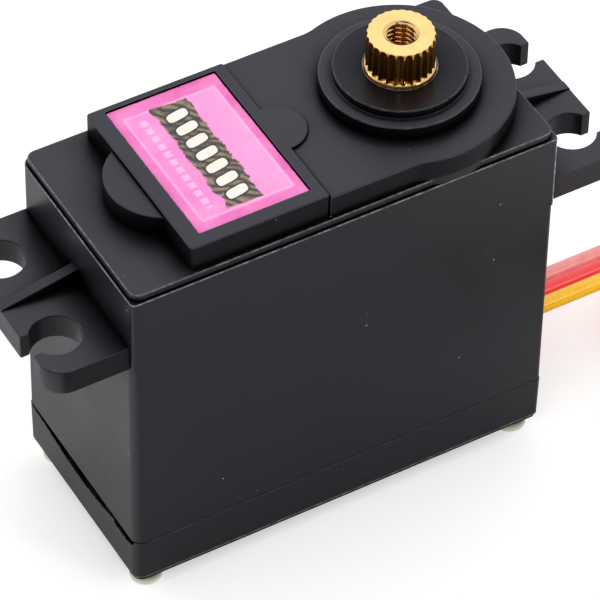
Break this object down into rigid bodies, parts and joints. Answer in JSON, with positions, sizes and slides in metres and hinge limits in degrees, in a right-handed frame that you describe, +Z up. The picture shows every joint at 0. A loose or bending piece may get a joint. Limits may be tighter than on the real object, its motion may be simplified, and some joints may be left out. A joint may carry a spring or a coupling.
{
  "type": "servo motor",
  "caption": "Standard-size servo with splined brass output, metal spur gear train, brushed motor, feedback potentiometer, board and three-wire lead.",
  "frame": {"origin": "centre of the flat underside of the bottom cover", "axes": "+Z up along the output shaft, +X along the case towards the output shaft and the lead, +Y across the width"},
  "size_m": [0.0938, 0.0437, 0.0442],
  "materials": {
    "case_plastic": "satin moulded black nylon",
    "label_print": "glossy pink sticker film",
    "screw_steel": "nickel plated steel",
    "brass": "machined brass",
    "gear_alloy": "cut alloy gear blank",
    "gear_steel": "hardened steel",
    "motor_can": "zinc plated steel",
    "rotor_iron": "laminated iron",
    "ferrite": "sintered ferrite",
    "copper": "enamelled copper",
    "white_plastic": "moulded nylon",
    "pot_plastic": "moulded housing",
    "phenolic": "phenolic sheet",
    "board": "solder mask over glass laminate",
    "black_epoxy": "moulded epoxy",
    "component": "component body",
    "grommet": "soft rubber",
    "wire_brown": "flexible insulation",
    "wire_red": "flexible insulation",
    "wire_orange": "flexible insulation"
  },
  "bodies": {
    "case": {"bottom_cover": "case_plastic", "cable_grommet": "grommet", "case_screw_1": "screw_steel", "case_screw_2": "screw_steel", "case_screw_3": "screw_steel", "case_screw_4": "screw_steel", "centre_gear_pin": "gear_steel", "circuit_board": "board", "connector_housing": "black_epoxy", "contact_1": "brass", "contact_2": "brass", "contact_3": "brass", "control_chip": "black_epoxy", "driver_mosfet_1": "black_epoxy", "driver_mosfet_2": "black_epoxy", "filter_capacitor": "component", "label": "label_print", "lower_bearing_outer_race": "gear_steel", "middle_case": "case_plastic", "motor_brush_1": "brass", "motor_brush_2": "brass", "motor_can": "motor_can", "motor_end_bell": "white_plastic", "motor_front_bush": "brass", "motor_magnet_1": "ferrite", "motor_magnet_2": "ferrite", "motor_screw_1": "screw_steel", "motor_screw_2": "screw_steel", "pot_base": "phenolic", "pot_body": "pot_plastic", "pot_ribbon": "wire_brown", "rear_gear_pin": "gear_steel", "resonator": "component", "top_cover": "case_plastic", "upper_bearing_outer_race": "gear_steel", "wire_brown": "wire_brown", "wire_orange": "wire_orange", "wire_red": "wire_red"},
    "motor_rotor": {"motor_shaft": "gear_steel", "motor_pinion": "brass", "rotor_core": "rotor_iron", "rotor_coil_1": "copper", "rotor_coil_2": "copper", "rotor_coil_3": "copper", "commutator": "copper"},
    "first_gear": {"first_gear_wheel": "gear_alloy", "first_gear_pinion": "gear_steel"},
    "second_gear": {"second_gear_wheel": "gear_alloy", "second_gear_pinion": "gear_steel"},
    "third_gear": {"third_gear_wheel": "gear_alloy", "third_gear_pinion": "gear_steel"},
    "output": {"output_shaft": "brass", "output_gear": "gear_alloy", "upper_bearing_inner_race": "gear_steel", "lower_bearing_inner_race": "gear_steel", "pot_shaft": "gear_steel", "pot_wiper": "brass"},
    "upper_cage": {"upper_bearing_ball_cage": "brass"},
    "lower_cage": {"lower_bearing_ball_cage": "brass"}
  },
  "joints": [
    {"name": "motor_turn", "type": "hinge", "parent": "case", "child": "motor_rotor", "pos_m": [-0.00815, 0, 0.017], "axis": [0, 0, 1], "range_deg": [-6589.6, 6589.6]},
    {"name": "first_gear_turn", "type": "hinge", "parent": "case", "child": "first_gear", "pos_m": [-0.00125, 0, 0.029], "axis": [0, 0, 1], "range_deg": [-1603, 1603]},
    {"name": "second_gear_turn", "type": "hinge", "parent": "case", "child": "second_gear", "pos_m": [-0.0114, 0, 0.031], "axis": [0, 0, 1], "range_deg": [-665, 665]},
    {"name": "third_gear_turn", "type": "hinge", "parent": "case", "child": "third_gear", "pos_m": [-0.00125, 0, 0.033], "axis": [0, 0, 1], "range_deg": [-192.1, 192.1]},
    {"name": "output_turn", "type": "hinge", "parent": "case", "child": "output", "pos_m": [0.0105, 0, 0.035], "axis": [0, 0, 1], "range_deg": [-90, 90]},
    {"name": "upper_cage_turn", "type": "hinge", "parent": "case", "child": "upper_cage", "pos_m": [0.0105, 0, 0.0375], "axis": [0, 0, 1], "range_deg": [-38.1, 38.1]},
    {"name": "lower_cage_turn", "type": "hinge", "parent": "case", "child": "lower_cage", "pos_m": [0.0105, 0, 0.0255], "axis": [0, 0, 1], "range_deg": [-38.1, 38.1]}
  ],
  "couplings": [
    {"joint": "first_gear_turn", "follows": "motor_turn", "ratio": -0.24324},
    {"joint": "second_gear_turn", "follows": "motor_turn", "ratio": 0.10086},
    {"joint": "third_gear_turn", "follows": "motor_turn", "ratio": -0.029136},
    {"joint": "output_turn", "follows": "motor_turn", "ratio": 0.013658},
    {"joint": "upper_cage_turn", "follows": "motor_turn", "ratio": 0.0057704},
    {"joint": "lower_cage_turn", "follows": "motor_turn", "ratio": 0.0057704}
  ]
}
